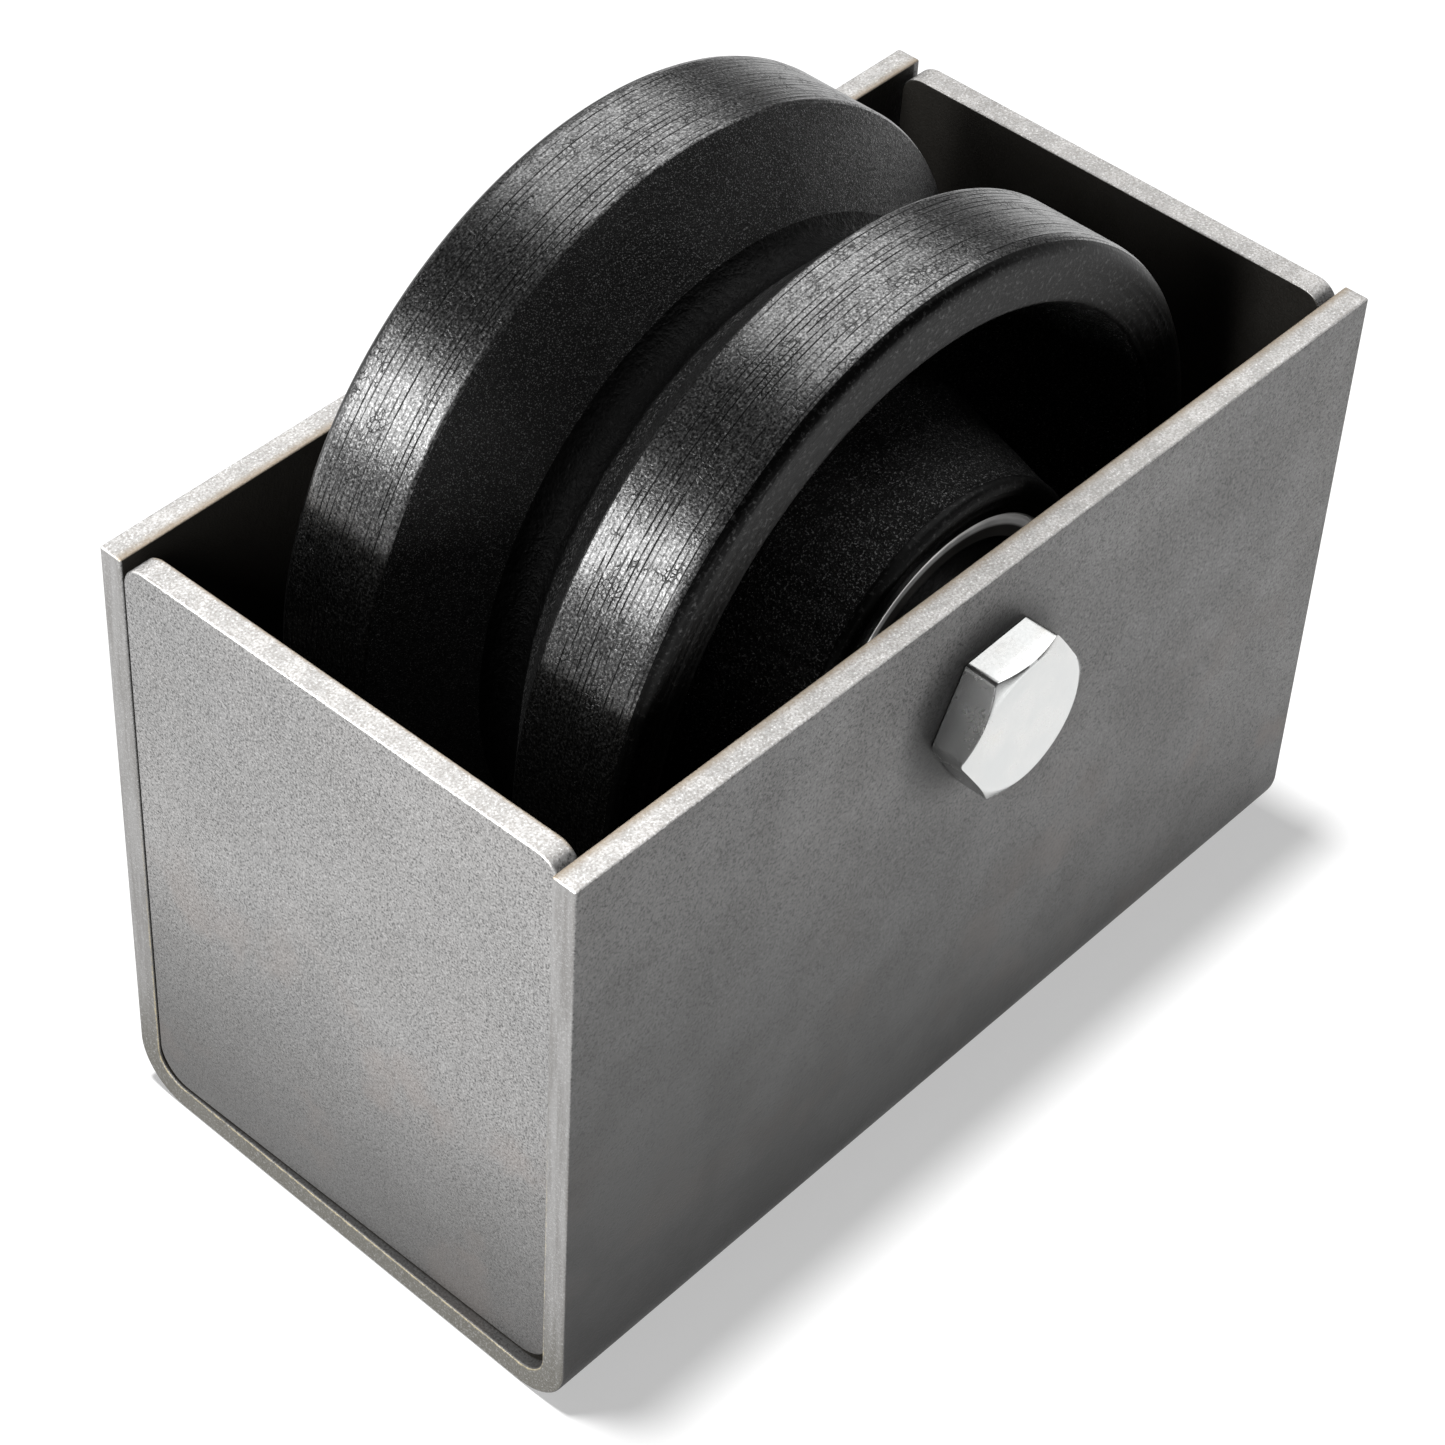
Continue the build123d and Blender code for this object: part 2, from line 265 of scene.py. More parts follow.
def plate_steel(name, end_faces):
    """Bare mill plate with bright cut top edges and inner walls painted near black as shade; end_faces is for
    the channel.
    """
    s = Shader(name, Metallic=0.62)
    x, y, z = (s.axis(s.coords, i) for i in range(3))
    cloud = s.remap(s.noise(95, 4, 0.6), 0.3, 0.7)
    grain = s.noise(3400, 2, 0.7)
    coarse = s.noise(900, 2, 0.6)
    wander = s.math("MULTIPLY", s.math("SUBTRACT", coarse, 0.5), EDGE_WANDER)
    # near-black paint on the inner walls stands for the box's own shadow; it stops at the end plates
    outside = s.math("MAXIMUM", s.facing_away((0, 0, channel_high.z / 2)),
                     s.remap(s.math("ABSOLUTE", x), -plate_low.x - 0.3 * MM, -plate_low.x))
    skin = s.mix(outside, NEAR_BLACK, mill_skin(s, cloud, grain, coarse))
    across = s.math("ABSOLUTE", y if end_faces else x)
    inner = -(channel_low.y + PLATE) if end_faces else -plate_high.x
    margin = 1.5 * MM if end_faces else 0.7 * MM
    fresh = cut_edge(s, grain, s.math("ADD", across, wander), inner, margin)
    if end_faces:
        ends = s.remap(s.normal_axis(0), 0.6, 0.9)
        skin = s.mix(ends, skin, sheared_end(s, grain, wander, across, inner))
    top = s.remap(z, channel_high.z - CUT_DEPTH[1], channel_high.z - CUT_DEPTH[0])
    cut = s.math("MULTIPLY", top, s.remap(s.normal_axis(2), 0.25, 0.75))
    roughness = s.math("ADD", s.remap(grain, 0.2, 0.8, 0.44, 0.6), s.remap(cloud, 0, 1, -0.03, 0.04))
    relief = s.bump(coarse, 0.03 * MM, s.bump(grain, 0.06 * MM))
    return s.finish(s.mix(cut, skin, fresh), roughness, relief)


def turned_iron():
    """The crowns: turned cast iron, with fine tool lines round the wheel and a torn, gritty skin."""
    s = Shader("turned_iron", Metallic=1.0, Anisotropic=0.65, Anisotropic_Rotation=0.25)
    tangent = s.node("ShaderNodeTangent", direction_type="RADIAL", axis="Y")
    s.link(tangent.outputs[0], s.bsdf.inputs["Tangent"])
    y = s.axis(s.coords, 1)
    wander = s.math("MULTIPLY", s.noise(60, 2, 0.5), 0.9)
    wave = s.math("SINE", s.math("ADD", s.math("MULTIPLY", y, 2 * math.pi / LINE_PITCH), wander))
    line = s.remap(wave, 0.55, 0.95)
    uneven = s.remap(s.noise(1, 1, 0.5, s.stretched((25, 800, 25))), 0.38, 0.60, 0.3, 1.0)
    broken = s.remap(s.noise(1, 2, 0.6, s.stretched((300, 1200, 300))), 0.30, 0.50)
    cracks = s.remap(s.cells(1, s.stretched((1250, 1900, 1250)), "DISTANCE_TO_EDGE"), 0.12, 0.02)
    cracked = s.remap(s.noise(300, 3, 0.6), 0.46, 0.66, 0.0, 0.8)
    torn = s.math("MAXIMUM", s.math("MULTIPLY", s.math("MULTIPLY", line, uneven), broken),
                  s.math("MULTIPLY", cracks, cracked))
    grain = s.noise(3300, 2, 0.7)
    patch = s.remap(s.noise(45, 2, 0.5), 0.3, 0.7)
    color = s.mix(patch, grey(0.19), grey(0.26))
    color = s.mix(s.remap(grain, 0.48, 0.34), color, grey(0.07))
    color = s.mix(s.remap(grain, 0.52, 0.66), color, grey(0.56))
    color = s.mix(s.math("MULTIPLY", torn, 0.9), color, grey(0.010))
    roughness = s.math("ADD", s.remap(grain, 0.25, 0.75, 0.26, 0.40), s.math("MULTIPLY", torn, 0.2))
    relief = s.bump(wave, 0.006 * MM)
    relief = s.bump(torn, -0.02 * MM, relief)
    relief = s.bump(grain, 0.020 * MM, relief)
    return s.finish(color, roughness, relief)


def cast_iron(name, dark, bright, grain_size, depth, metallic=0.85, specular=0.5, one_sided=False):
    """Black rough-cast iron with bright flecks; one_sided keeps the flecks to its -Y side and paints the rest
    near black as shade.
    """
    s = Shader(name, Metallic=metallic, Specular_IOR_Level=specular)
    grain = s.noise(1 / grain_size, 3, 0.65)
    fine = s.noise(2.6 / grain_size, 2, 0.6)
    patch = s.noise(70, 3, 0.5)
    color = s.mix(s.remap(patch, 0.35, 0.7), grey(dark), grey(dark * 1.6))
    flecks = s.remap(fine, 0.56, 0.68)
    if one_sided:
        # painted shade: from the middle towards +Y the colour is near black and has no flecks
        lit_side = s.remap(s.axis(s.coords, 1), -1.6 * MM, -3.6 * MM)
        flecks = s.math("MULTIPLY", flecks, lit_side)
        color = s.mix(lit_side, grey(0.003), color)
    color = s.mix(flecks, color, grey(bright))
    roughness = s.remap(grain, 0.35, 0.7, 0.60, 0.30)
    relief = s.bump(grain, depth)
    relief = s.bump(fine, depth * 0.45, relief)
    return s.finish(color, roughness, relief)


def side_iron():
    """The rims' turned sides: smooth black with faint arcs round the axle."""
    s = Shader("side_iron", Metallic=0.9)
    place = s.node("ShaderNodeCombineXYZ")
    s.link(s.math("MULTIPLY", s.axle_distance(), 1100), place.inputs[0])
    s.link(s.math("MULTIPLY", s.axis(s.coords, 0), 25), place.inputs[1])
    arcs = s.noise(1, 3, 0.65, place.outputs[0])
    grain = s.noise(1900, 3, 0.65)
    color = s.mix(s.remap(arcs, 0.40, 0.64), grey(0.008), grey(0.028))
    color = s.mix(s.math("MULTIPLY", s.remap(grain, 0.52, 0.74), 0.8), color, grey(0.10))
    roughness = s.remap(arcs, 0.3, 0.7, 0.34, 0.5)
    relief = s.bump(arcs, 0.05 * MM)
    return s.finish(color, roughness, s.bump(grain, 0.05 * MM, relief))


def zinc(name, shade):
    """Bright zinc plate with faint draw marks and a straw tint here and there."""
    s = Shader(name, Metallic=1.0)
    cloud = s.noise(160, 3, 0.6)
    marks = s.noise(1, 3, 0.6, s.stretched((1600, 260, 260)))
    grain = s.noise(2600, 2, 0.6)
    color = s.mix(s.remap(cloud, 0.35, 0.7), tuple(shade * c for c in (0.92, 0.935, 0.93)),
                  tuple(shade * c for c in (1.0, 1.0, 0.985)))
    color = s.mix(s.math("MULTIPLY", s.remap(cloud, 0.62, 0.8), 0.5), color,
                  tuple(shade * c for c in (0.93, 0.87, 0.70)))
    roughness = s.math("ADD", s.remap(grain, 0.3, 0.7, 0.20, 0.26), s.remap(cloud, 0.3, 0.7, -0.03, 0.04))
    relief = s.bump(marks, 0.004 * MM)
    relief = s.bump(s.noise(420, 2, 0.5), 0.008 * MM, relief)
    return s.finish(color, roughness, relief)


def ground_steel(name, value, rough, rings, darker_within=None):
    """Ground or turned steel whose lines run round the axle, darker inside a given radius if one is given."""
    s = Shader(name, Metallic=1.0, Anisotropic=0.4)
    lines = s.noise(1, 3, 0.6, s.stretched((90, rings, 90)))
    grain = s.noise(1800, 2, 0.5)
    color = s.mix(s.remap(lines, 0.3, 0.7), grey(value * 0.85, 0.01), grey(value, 0.01))
    if darker_within is not None:
        # darker inside the given radius from the axle
        color = s.mix(s.remap(s.axle_distance(), darker_within, darker_within + 0.5 * MM), grey(0.05, 0.06), color)
    roughness = s.remap(lines, 0.3, 0.7, rough, rough + 0.12)
    relief = s.bump(lines, 0.02 * MM)
    return s.finish(color, roughness, s.bump(grain, 0.015 * MM, relief))


def rubber():
    s = Shader("seal_rubber", Roughness=0.6)
    grain = s.noise(2200, 3, 0.6)
    dust = s.remap(s.noise(240, 3, 0.6), 0.5, 0.75)
    color = s.mix(s.math("MULTIPLY", dust, 0.5), grey(0.012), grey(0.035))
    return s.finish(color, s.remap(grain, 0.3, 0.7, 0.5, 0.7), s.bump(grain, 0.03 * MM))


def nylon():
    s = Shader("insert_nylon", Roughness=0.4)
    grain = s.noise(900, 3, 0.6)
    color = s.mix(s.remap(grain, 0.3, 0.7), (0.05, 0.11, 0.28), (0.07, 0.15, 0.36))
    return s.finish(color, s.remap(grain, 0.3, 0.7, 0.34, 0.5), s.bump(grain, 0.04 * MM))


def weld():
    """As-laid weld metal: grey with a brown tint in patches."""
    s = Shader("weld_bead", Metallic=0.9)
    cloud = s.remap(s.noise(220, 3, 0.6), 0.35, 0.7)
    grain = s.noise(1600, 3, 0.6)
    color = s.mix(cloud, grey(0.30, 0.02), (0.24, 0.19, 0.15))
    return s.finish(color, s.remap(grain, 0.3, 0.7, 0.3, 0.5), s.bump(grain, 0.06 * MM))


CHANNEL_STEEL = plate_steel("plate_steel_ends", True)
END_PLATE_STEEL = plate_steel("plate_steel", False)
TURNED = turned_iron()
CAST_FINE = cast_iron("cast_iron_groove", 0.030, 0.30, 0.45 * MM, 0.14 * MM)
CAST_ROUGH = cast_iron("cast_iron_hub", 0.026, 0.40, 0.62 * MM, 0.30 * MM)
CAST_FLOOR = cast_iron("cast_iron_floor", 0.012, 0.34, 0.80 * MM, 0.30 * MM, 0.2, 0.15, True)
SIDE = side_iron()
ZINC = zinc("zinc_plate", 0.68)
# a darker copy of the zinc: painted shade for the head's six flats
SHADED_ZINC = zinc("zinc_plate_shaded", 0.36)
BEARING = ground_steel("bearing_steel", 0.78, 0.36, 1800)
# the outer rings are darker inside 18.5 mm from the axle
OUTER_RING = ground_steel("bearing_steel_outer", 0.85, 0.42, 1800, 18.5 * MM)
TUBE = ground_steel("turned_steel", 0.5, 0.3, 1300)
CAGE = ground_steel("cage_steel", 0.45, 0.34, 700)
RUBBER = rubber()
NYLON = nylon()
WELD = weld()


# ------------------------------------------------------------------ mesh helpers
def mesh_piece(name, verts, faces, materials, face_material=None):
    mesh = bpy.data.meshes.new(name)
    mesh.from_pydata([tuple(v) for v in verts], [], [tuple(f) for f in faces])
    for m in materials:
        mesh.materials.append(m)
    if face_material is not None:
        mesh.polygons.foreach_set("material_index", np.asarray(face_material, np.int32))
    mesh.polygons.foreach_set("use_smooth", np.full(len(faces), True))
    mesh.validate()
    mesh.update()
    piece = bpy.data.objects.new(name, mesh)
    bpy.context.scene.collection.objects.link(piece)
    return piece


def straight(p, q, step):
    """Points from p to q, without q, at most step apart."""
    p, q = np.asarray(p, float), np.asarray(q, float)
    count = max(1, int(math.ceil(np.linalg.norm(q - p) / step)))
    return [p + (q - p) * i / count for i in range(count)]


def tangent_arc(p, q, tangent, count):
    """Points on the circle through p and q that leaves p along tangent, but not q, and the heading at q."""
    p, q, t = (np.asarray(v, float) for v in (p, q, tangent))
    t = t / np.linalg.norm(t)
    normal = np.array([-t[1], t[0]])
    chord = q - p
    radius = chord.dot(chord) / (2 * chord.dot(normal))
    centre = p + normal * radius
    sweep = 2 * math.atan2(chord.dot(normal), chord.dot(t))

    def turn(v, a):
        return np.array([v[0] * math.cos(a) - v[1] * math.sin(a), v[0] * math.sin(a) + v[1] * math.cos(a)])

    points = [centre + turn(p - centre, sweep * i / count) for i in range(count)]
    return points, turn(t, sweep)


# ------------------------------------------------------------------ the wheel casting
SEGMENTS = 408
GROOVE_MOUTH = 11.9 * MM                # half the groove's width at the crowns
GROOVE_FLOOR = 3.3 * MM                 # and at the foot of its slopes
RELIEF = 1.8 * MM                       # how much deeper the rounded floor goes
AS_CAST = 0.58                          # the share of the -Y slope, from its foot, that is left rough
SHOULDER = 2.4 * MM                     # the rims' outer rounding
EDGE = 0.35 * MM                        # every small broken edge
RECESS_MOUTH = 44.6 * MM
RECESS_INNER = (41.4 * MM, 13.0 * MM)   # these three are a radius and a distance from the middle plane
WEB = (34.0 * MM, 5.5 * MM)
HUB_ROOT = (28.4 * MM, 12.5 * MM)
LIP = 24.4 * MM
LIP_WIDTH = 1.4 * MM
LIP_CHAMFER = 0.9 * MM
SEAT = 20.0 * MM                        # the bearing's seat
SEAT_END = HUB_HALF - 12.3 * MM
BORE = 17.0 * MM
LINE_HALF_WIDTH = 0.3 * MM
LINE_SHIFT = 0.06 * MM
LINE_DEPTHS = (0.02, 0.06)              # millimetres, shallowest and deepest
LUMP = 0.022 * MM
LUMP_WAVES = 26
TURNED_SLOT, GROOVE_SLOT, HUB_SLOT, SIDE_SLOT, BORE_SLOT, RELIEF_SLOT = range(6)


def half_profile():
    """(radius, y, slot) from the groove's middle out over the rim, down the recess and into the bore."""
    rows = []

    def add(points, slot):
        rows.extend((p[0], p[1], slot) for p in points)

    relief, _ = tangent_arc((FLOOR_R - RELIEF, 0), (FLOOR_R, GROOVE_FLOOR), (0, 1), 5)
    add(relief, RELIEF_SLOT)
    slope = np.array([WHEEL_R - FLOOR_R, GROOVE_MOUTH - GROOVE_FLOOR])
    slope_end = np.array([WHEEL_R, GROOVE_MOUTH]) - slope / np.linalg.norm(slope) * EDGE
    mid_slope = np.array([FLOOR_R, GROOVE_FLOOR]) * (1 - AS_CAST) + slope_end * AS_CAST
    add(straight((FLOOR_R, GROOVE_FLOOR), mid_slope, 0.9 * MM), RELIEF_SLOT)
    add(straight(mid_slope, slope_end, 1.3 * MM), GROOVE_SLOT)
    crown_start = (WHEEL_R, GROOVE_MOUTH + EDGE)
    corner, _ = tangent_arc(slope_end, crown_start, slope, 3)
    add(corner, TURNED_SLOT)
    crown_end = (WHEEL_R, HALF_WIDTH - SHOULDER)
    add(straight(crown_start, crown_end, LINE_PITCH / 3), TURNED_SLOT)
    shoulder, _ = tangent_arc(crown_end, (WHEEL_R - SHOULDER, HALF_WIDTH), (0, 1), 6)
    add(shoulder[:2], TURNED_SLOT)
    add(shoulder[2:], SIDE_SLOT)
    add(straight((WHEEL_R - SHOULDER, HALF_WIDTH), (RECESS_MOUTH + EDGE, HALF_WIDTH), 0.9 * MM), SIDE_SLOT)
    wall = np.array(RECESS_INNER) - np.array([RECESS_MOUTH, HALF_WIDTH])
    wall_start = np.array([RECESS_MOUTH, HALF_WIDTH]) + wall / np.linalg.norm(wall) * EDGE
    lip, _ = tangent_arc((RECESS_MOUTH + EDGE, HALF_WIDTH), wall_start, (-1, 0), 2)
    add(lip, SIDE_SLOT)
    add(straight(wall_start, RECESS_INNER, 2.0 * MM), HUB_SLOT)
    into_web, heading = tangent_arc(RECESS_INNER, WEB, wall, 5)
    add(into_web, HUB_SLOT)
    out_of_web, heading = tangent_arc(WEB, HUB_ROOT, heading, 5)
    add(out_of_web, HUB_SLOT)
    add(straight(HUB_ROOT, (LIP, HUB_HALF - LIP_WIDTH), 1.2 * MM), HUB_SLOT)
    add([(LIP, HUB_HALF - LIP_WIDTH), (LIP, HUB_HALF - LIP_CHAMFER)], SIDE_SLOT)
    add(straight((LIP - LIP_CHAMFER, HUB_HALF), (SEAT + EDGE, HUB_HALF), 1.1 * MM), SIDE_SLOT)
    add([(SEAT + EDGE, HUB_HALF), (SEAT, HUB_HALF - EDGE)], BORE_SLOT)
    add([(SEAT, SEAT_END), (BORE, SEAT_END)], BORE_SLOT)
    return rows


def tool_lines(angle, r, y):
    """Depth of the crowns' tool lines: shallow V cuts at an uneven pitch that come and go round the wheel."""
    on_crown = (np.abs(r - WHEEL_R) < 1e-6) & (np.abs(y) > GROOVE_MOUTH + EDGE)
    cut = np.zeros((len(angle), len(r)))
    count = int((HALF_WIDTH - SHOULDER - GROOVE_MOUTH) / LINE_PITCH)
    for side in (-1, 1):
        for line in range(1, count + 1):
            centre = GROOVE_MOUTH + LINE_PITCH * line + rng.normal(0, LINE_SHIFT)
            waves = sum(rng.uniform(0.2, 1) * np.sin(k * angle + rng.uniform(0, 6.3))
                        for k in (3, 7, 12, 23, 41))
            strength = np.clip(0.55 + 0.3 * waves, 0.1, 1.2)
            section = np.clip(1 - np.abs(side * y - centre) / LINE_HALF_WIDTH, 0, 1)
            section = section * on_crown * (side * y > 0)
            cut += strength[:, None] * section[None, :] * rng.uniform(*LINE_DEPTHS) * MM
    return cut


def cast_lumps(angle, r, y, slot):
    """Depth of the as-cast lumps: on the recess, the hub's cone and the -Y foot, and slight on the slopes."""
    share = np.select([slot == HUB_SLOT, slot == GROOVE_SLOT, slot == RELIEF_SLOT],
                      [1.0, 0.2, np.where(y < 0, 0.9, 0.2)], 0.0)
    waves = np.zeros((len(angle), len(r)))
    for _ in range(LUMP_WAVES):
        k = rng.integers(5, 90)
        phase_y = rng.uniform(60, 900)
        waves += rng.uniform(0.3, 1) * np.sin(k * angle[:, None] + rng.uniform(0, 6.3)
                                              + (phase_y * (y + 0.7 * r))[None, :])
    return LUMP * (waves + 3) * share[None, :]


def wheel_casting():
    """The whole wheel as one skin, which stands for the hub and both rims."""
    half = half_profile()
    mirrored = half[1:]
    rows = [(r, -y, slot) for r, y, slot in reversed(mirrored)] + half
    # a face's slot is that of its end nearer the groove's middle on either side
    slots = [rows[i + 1][2] for i in range(len(mirrored))] + [row[2] for row in half[:-1]]
    # the +Y slope is turned down to its foot, and only the -Y one keeps the rough skin there
    for i in range(len(mirrored), len(slots)):
        if slots[i] == RELIEF_SLOT and rows[i][0] > FLOOR_R - 0.1 * EDGE:
            slots[i] = GROOVE_SLOT
    r = np.array([row[0] for row in rows])
    y = np.array([row[1] for row in rows])
    row_slot = np.array([row[2] for row in rows])
    angle = np.linspace(0, 2 * math.pi, SEGMENTS, endpoint=False)
    radius = r[None, :] - tool_lines(angle, r, y)
    radius = radius - cast_lumps(angle, r, y, row_slot)
    x = radius * np.sin(angle)[:, None]
    z = AXLE_Z + radius * np.cos(angle)[:, None]
    verts = np.stack([x, np.broadcast_to(y + WHEEL_Y, x.shape), z], -1).reshape(-1, 3)
    across = len(rows)
    faces, face_slots = [], []
    for i in range(SEGMENTS):
        a, b = i * across, (i + 1) % SEGMENTS * across
        for j in range(across - 1):
            faces.append((a + j, b + j, b + j + 1, a + j + 1))
            face_slots.append(slots[j])
        faces.append((a + across - 1, b + across - 1, b, a))
        face_slots.append(BORE_SLOT)
    materials = [TURNED, CAST_FINE, CAST_ROUGH, SIDE, TUBE, CAST_FLOOR]
    piece = mesh_piece("wheel_casting", verts, faces, materials, face_slots)
    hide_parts("wheel_hub", "wheel_rim_near", "wheel_rim_far")
    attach(piece, "wheel")
    return piece


# ------------------------------------------------------------------ the bolt
HEAD_FLATS = 19.05 * MM
HEAD_HEIGHT = 5.8 * MM
HEAD_FACE = 9.0 * MM
HEAD_TURN = math.radians(-2.6)
CHAMFER = math.tan(math.radians(30))
CORNER_ROUND = 0.5 * MM
BOLT_R = 6.35 * MM
THREAD_LENGTH = 22 * MM
THREAD_PITCH = 1.954 * MM
THREAD_DEPTH = 1.05 * MM
THREAD_STEPS = 8          # rings in one pitch
CREST_START, CREST_SPAN = 0.1, 0.78
END_CHAMFER = (1.3 * MM, 1.25 * MM)     # length and depth
CENTRE_HOLE = 0.5 * MM
FACE_STEP = 0.05 * MM     # how far the head's face stands above its chamfer
CORNER_CUT = 0.31         # of CORNER_ROUND, the height taken off each corner of the hexagon
bolt_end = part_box("axle_bolt")[1].y
HEAD_STEPS = 240
FLATS_RING = 9      # the ring of the head's mesh where its six flats start


def hexagon_radius(phi, flats, turn):
    """Distance from the centre to a hexagon's side with rounded corners, in direction phi."""
    sector = math.radians(60)
    local = (phi - turn + sector / 2) % sector - sector / 2
    sharp = flats / 2 / math.cos(local)
    corner = flats / 2 / math.cos(sector / 2)
    limit = corner - CORNER_ROUND * CORNER_CUT
    return min(sharp, limit + (sharp - limit) * 0.25) if sharp > limit else sharp


def axle_bolt():
    """Head, shank and a real thread on one closed skin."""
    head_plane = channel_low.y
    phis = [2 * math.pi * i / HEAD_STEPS for i in range(HEAD_STEPS)]
    hexagon = [hexagon_radius(phi, HEAD_FLATS, HEAD_TURN) for phi in phis]

    def ring(radii, planes):
        return [(rad * math.sin(phi), plane, AXLE_Z + rad * math.cos(phi))
                for phi, rad, plane in zip(phis, radii, planes)]

    def flat(value):
        return [value] * HEAD_STEPS

    rings = []
    face_inner = HEAD_FACE - 0.35 * MM
    top = head_plane - HEAD_HEIGHT
    rings.append(ring(flat(CENTRE_HOLE), flat(top)))
    for share in (0.35, 0.7, 1.0):
        rings.append(ring(flat(face_inner * share), flat(top)))
    rings.append(ring(flat(HEAD_FACE - 0.12 * MM), flat(top + FACE_STEP)))
    for share in (0.12, 0.5, 0.9):
        radii = [HEAD_FACE + (h - HEAD_FACE) * share for h in hexagon]
        rings.append(ring(radii, [top + FACE_STEP + (rad - HEAD_FACE) * CHAMFER for rad in radii]))
    drops = [(h - HEAD_FACE) * CHAMFER for h in hexagon]
    rings.append(ring([h - 0.03 * MM for h in hexagon], [top + d + 0.06 * MM for d in drops]))
    rings.append(ring(hexagon, [top + d + 0.2 * MM for d in drops]))
    rings.append(ring(hexagon, flat(head_plane - 0.25 * MM)))
    rings.append(ring([h - 0.2 * MM for h in hexagon], flat(head_plane)))
    rings.append(ring(flat(BOLT_R), flat(head_plane)))
    thread_start = bolt_end - THREAD_LENGTH
    for share in (0.25, 0.5, 0.75, 0.97):
        rings.append(ring(flat(BOLT_R), flat(head_plane + (thread_start - head_plane) * share)))
    steps = int((bolt_end - thread_start) / THREAD_PITCH * THREAD_STEPS)
    for i in range(steps + 1):
        plane = thread_start + (bolt_end - thread_start) * i / steps
        run_in = min(1.0, i / THREAD_STEPS)
        end_cut = max(0.0, 1 - (bolt_end - plane) / END_CHAMFER[0])
        radii = []
        for phi in phis:
            turn = (plane / THREAD_PITCH + phi / (2 * math.pi)) % 1.0
            tooth = abs(turn - 0.5) * 2
            tooth = min(1.0, max(0.0, (tooth - CREST_START) / CREST_SPAN))
            rad = BOLT_R - THREAD_DEPTH * (1 - tooth) * run_in
            radii.append(min(rad, BOLT_R - END_CHAMFER[1] * end_cut))
        rings.append(ring(radii, flat(plane)))
    rings.append(ring(flat(3.2 * MM), flat(bolt_end)))
    rings.append(ring(flat(0.4 * MM), flat(bolt_end)))
    verts = [v for r in rings for v in r]
    faces = []
    for k in range(len(rings) - 1):
        for i in range(HEAD_STEPS):
            j = (i + 1) % HEAD_STEPS
            a, b = k * HEAD_STEPS, (k + 1) * HEAD_STEPS
            faces.append((a + i, a + j, b + j, b + i))
    faces.append(tuple(reversed(range(HEAD_STEPS))))
    faces.append(tuple(range((len(rings) - 1) * HEAD_STEPS, len(rings) * HEAD_STEPS)))
    # the head's flats take the darker zinc, painted shade
    shaded_rows = range(FLATS_RING * HEAD_STEPS, (FLATS_RING + 2) * HEAD_STEPS)
    face_slots = [1 if i in shaded_rows else 0 for i in range(len(faces))]
    piece = mesh_piece("axle_bolt_threaded", verts, faces, [ZINC, SHADED_ZINC], face_slots)
    piece.data.set_sharp_from_angle(angle=math.radians(28))
    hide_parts("axle_bolt")
    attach(piece, "box")
    return piece


# ------------------------------------------------------------------ weld beads
WELD_LEG = 3.4 * MM
WELD_RIPPLE = 1.15 * MM
WELD_STEP = 0.28 * MM
WELD_TAPER = 1.6 * MM
WELD_START_Z = 14 * MM    # where the upright beads begin
WEB_WELD_HALF = 23 * MM


def weld_bead(start, end, toward_a, toward_b):
    """A rippled convex fillet from start to end; toward_a and toward_b point away from the corner."""
    start, end = Vector(start), Vector(end)
    length = (end - start).length
    along = (end - start) / length
    a, b = Vector(toward_a), Vector(toward_b)
    steps = int(length / WELD_STEP)
    across = 9
    verts, faces = [], []
    for i in range(steps + 1):
        t = i / steps
        ripple = (t * length / WELD_RIPPLE) % 1.0
        swell = 1 - 0.10 * ripple + 0.05 * math.sin(t * 17 + 1.3)
        taper = min(1.0, math.sqrt(max(0.0, min(t, 1 - t) * length / WELD_TAPER)))
        size = WELD_LEG * min(swell, 1.0) * max(taper, 0.15)
        for j in range(across):
            s = j / (across - 1)
            bulge = 0.10 * math.sin(math.pi * s)
            pull = 0.5 * MM * (1 - abs(2 * s - 1)) * (ripple - 0.5) * 0.6
            at = start + along * (t * length - pull) + a * size * ((1 - s) + bulge) + b * size * (s + bulge)
            verts.append(at)
        verts.append(start + along * t * length)
    row = across + 1
    for i in range(steps):
        for j in range(row):
            p, q = i * row + j, i * row + (j + 1) % row
            faces.append((p, q, q + row, p + row))
    faces.append(tuple(reversed(range(row))))
    faces.append(tuple(range(steps * row, (steps + 1) * row)))
    return verts, faces


def outward_normals(piece):
    bm = bmesh.new()
    bm.from_mesh(piece.data)
    bmesh.ops.recalc_face_normals(bm, faces=bm.faces)
    bm.to_mesh(piece.data)
    bm.free()


def corner_welds(name, node, plate_node, sign):
    """The three beads behind one end plate; sign is the way from the plate into the box."""
    low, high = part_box(node)
    p_low, p_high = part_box(plate_node)
    x = p_high.x if sign > 0 else p_low.x
    inward = (sign, 0, 0)
    flange = -low.y
    web = channel_low.z + PLATE
    runs = [
        ((x, -flange, WELD_START_Z), (x, -flange, high.z), inward, (0, 1, 0)),
        ((x, flange, WELD_START_Z), (x, flange, high.z), inward, (0, -1, 0)),
        ((x, -WEB_WELD_HALF, web), (x, WEB_WELD_HALF, web), inward, (0, 0, 1)),
    ]
    verts, faces = [], []
    for run in runs:
        v, f = weld_bead(*run)
        base = len(verts)
        verts += v
        faces += [tuple(base + i for i in face) for face in f]
    piece = mesh_piece(name, verts, faces, [WELD])
    outward_normals(piece)
    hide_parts(node)
    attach(piece, "box")


# ------------------------------------------------------------------ assembly
casting = wheel_casting()
bolt = axle_bolt()
corner_welds("weld_beads_left", "corner_welds_left", "end_plate_left", 1)
corner_welds("weld_beads_right", "corner_welds_right", "end_plate_right", -1)

